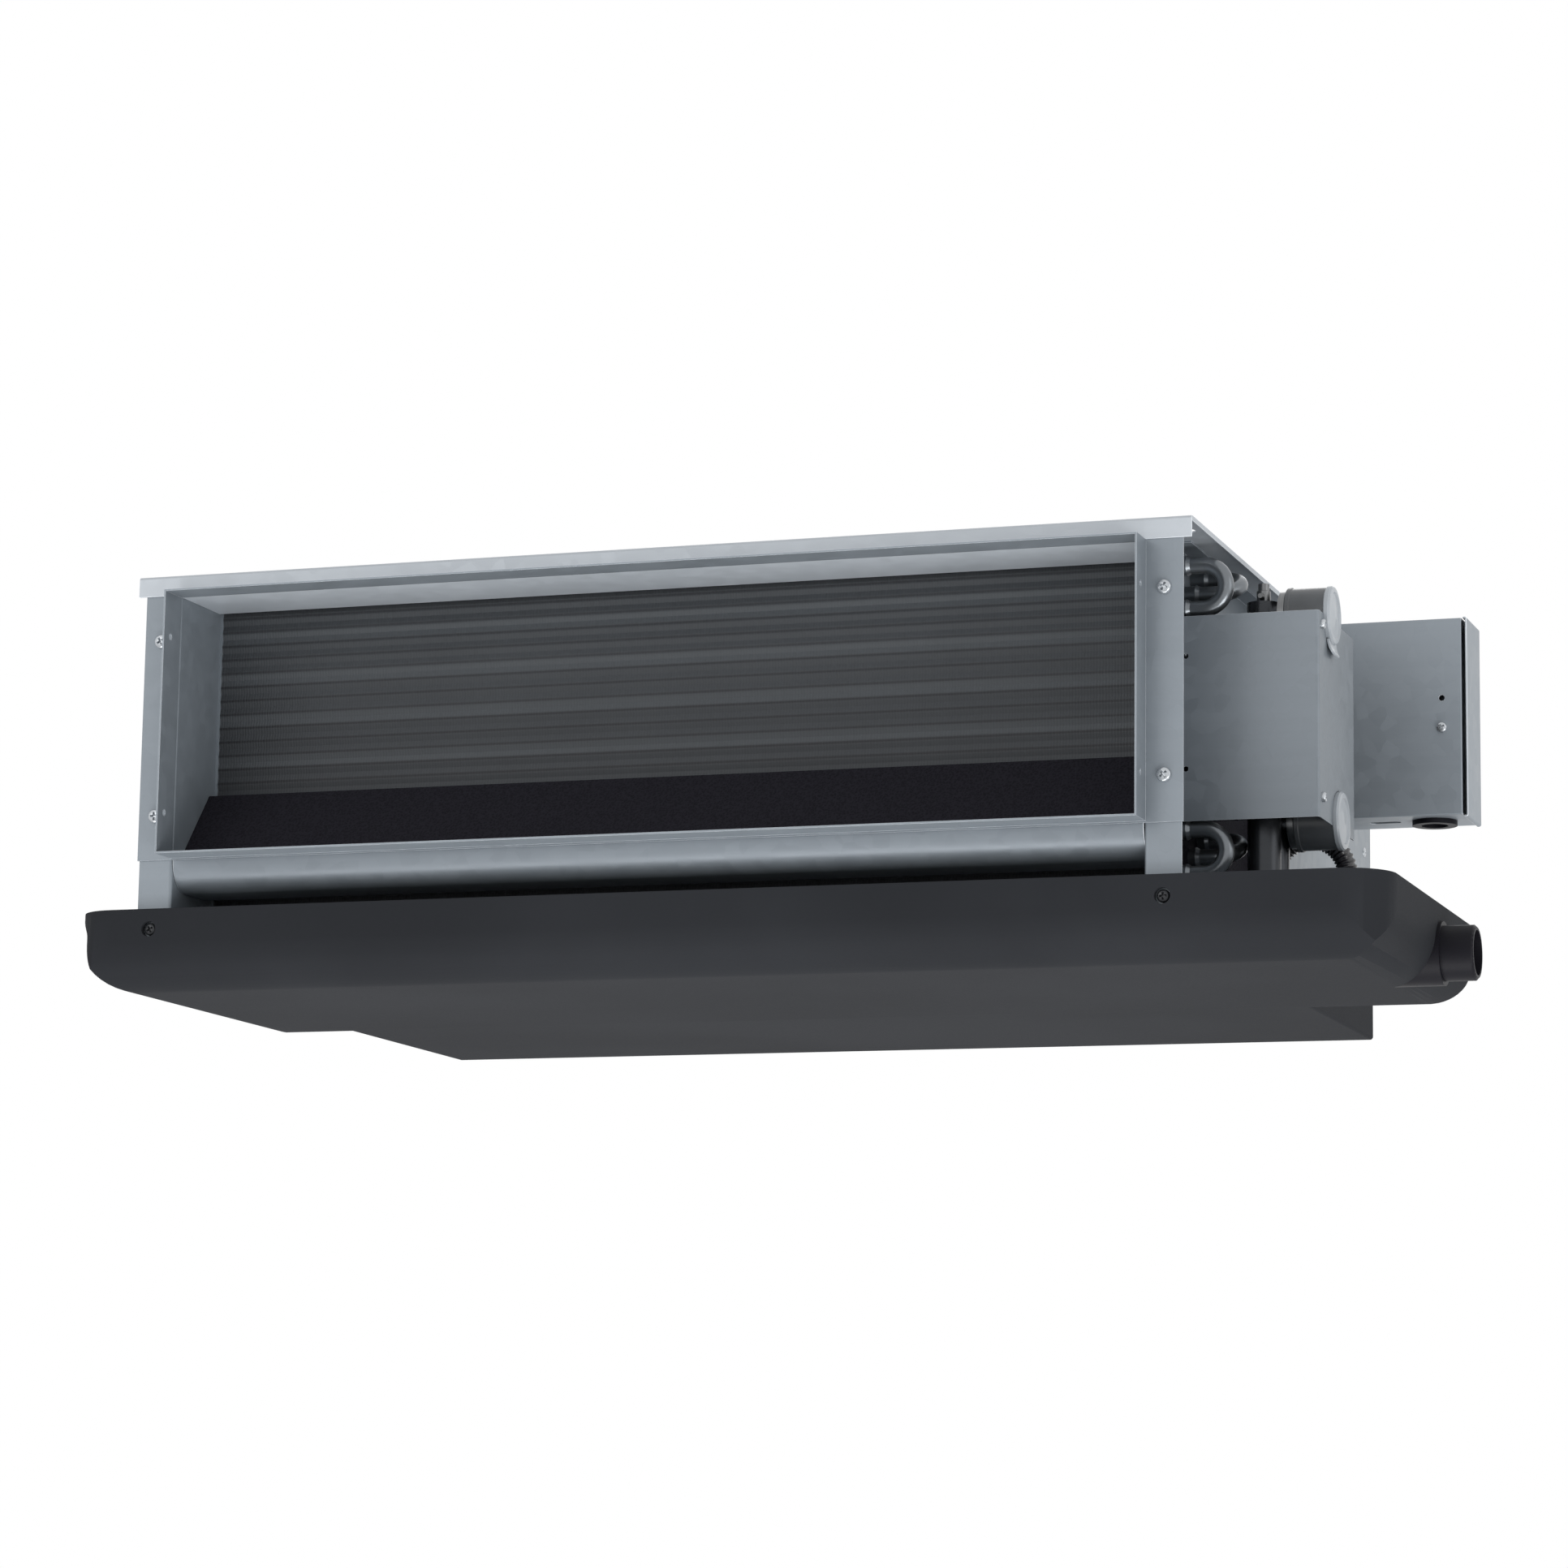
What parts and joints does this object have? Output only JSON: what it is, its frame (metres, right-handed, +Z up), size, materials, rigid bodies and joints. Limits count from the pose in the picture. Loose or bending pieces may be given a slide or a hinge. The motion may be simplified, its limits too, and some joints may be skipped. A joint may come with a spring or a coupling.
{
  "type": "horizontal concealed fan coil unit",
  "caption": "Ceiling fan coil unit in galvanised sheet: ducted outlet, finned water coil with capped sockets, drain pan with spigot, twin blowers, rear filter and terminal box.",
  "frame": {"origin": "centre of the four hanger holes, in the top face of the top panel", "axes": "+X along the air outlet towards the pipes and terminal box, +Y from the outlet to the rear air inlet, +Z up"},
  "size_m": [0.817, 0.5425, 0.249],
  "materials": {
    "galvanised": "satin zinc-coated sheet",
    "zinc_screw": "bright zinc plating",
    "black_foam": "matt closed-cell foam",
    "fin_aluminium": "thin bare fins, seen edge-on",
    "coil_tube": "dull grey metal tube",
    "brass_fitting": "machined brass",
    "grey_cap": "smooth moulded plastic",
    "pan_coat": "dark matt coating with fine grain",
    "black_plastic": "moulded black plastic",
    "wheel_metal": "pressed bright sheet",
    "bright_steel": "ground steel",
    "motor_paint": "semi-gloss black paint",
    "core_steel": "stacked sheet steel",
    "black_rubber": "matt rubber",
    "filter_plastic": "moulded plastic rim",
    "filter_net": "woven nylon net"
  },
  "bodies": {
    "casing": {"top_panel": "galvanised", "side_panel_left": "galvanised", "side_panel_right": "galvanised", "outlet_frame": "galvanised", "outlet_screws": "zinc_screw", "outlet_sill": "galvanised", "baffle_insulation": "black_foam", "coil_core": "fin_aluminium", "tube_sheet_left": "galvanised", "tube_sheet_right": "galvanised", "return_bends": "coil_tube", "outlet_soffit": "galvanised", "end_insulation_left": "black_foam", "end_insulation_right": "black_foam", "return_header": "coil_tube", "supply_header": "coil_tube", "water_sockets": "brass_fitting", "water_caps": "grey_cap", "air_vent": "brass_fitting", "pipe_bracket": "galvanised", "bracket_screws": "zinc_screw", "drain_pan": "galvanised", "pan_insulation": "pan_coat", "drain_spigot": "black_plastic", "pan_screws": "zinc_screw", "scroll_left": "galvanised", "scroll_right": "galvanised", "fan_deck": "galvanised", "motor_shell": "motor_paint", "motor_stator": "core_steel", "motor_rings": "black_rubber", "motor_cradle": "galvanised", "motor_straps": "galvanised", "fan_section_side_left": "galvanised", "fan_section_side_right": "galvanised", "fan_section_bottom": "pan_coat", "rear_frame": "galvanised", "filter_rails": "galvanised", "terminal_box": "galvanised", "terminal_box_cover": "galvanised", "cable_grommet": "black_plastic", "terminal_block": "black_plastic", "terminal_box_screw": "zinc_screw", "lead_sleeve": "black_plastic"},
    "rotor": {"fan_shaft": "bright_steel", "impeller_left": "wheel_metal", "impeller_right": "wheel_metal"},
    "vent_screw": {"air_vent_screw": "brass_fitting"},
    "filter": {"filter_frame": "filter_plastic", "filter_mesh": "filter_net"}
  },
  "joints": [
    {"name": "fan_spin", "type": "hinge", "parent": "casing", "child": "rotor", "pos_m": [0, 0.0995, -0.128], "axis": [1, 0, 0], "continuous": true},
    {"name": "vent_turn", "type": "hinge", "parent": "casing", "child": "vent_screw", "pos_m": [0.345, -0.1845, -0.027], "axis": [0, 0, 1], "range_deg": [0, 720]},
    {"name": "filter_slide", "type": "slide", "parent": "casing", "child": "filter", "axis": [-1, 0, 0], "range_m": [0, 0.62]}
  ]
}
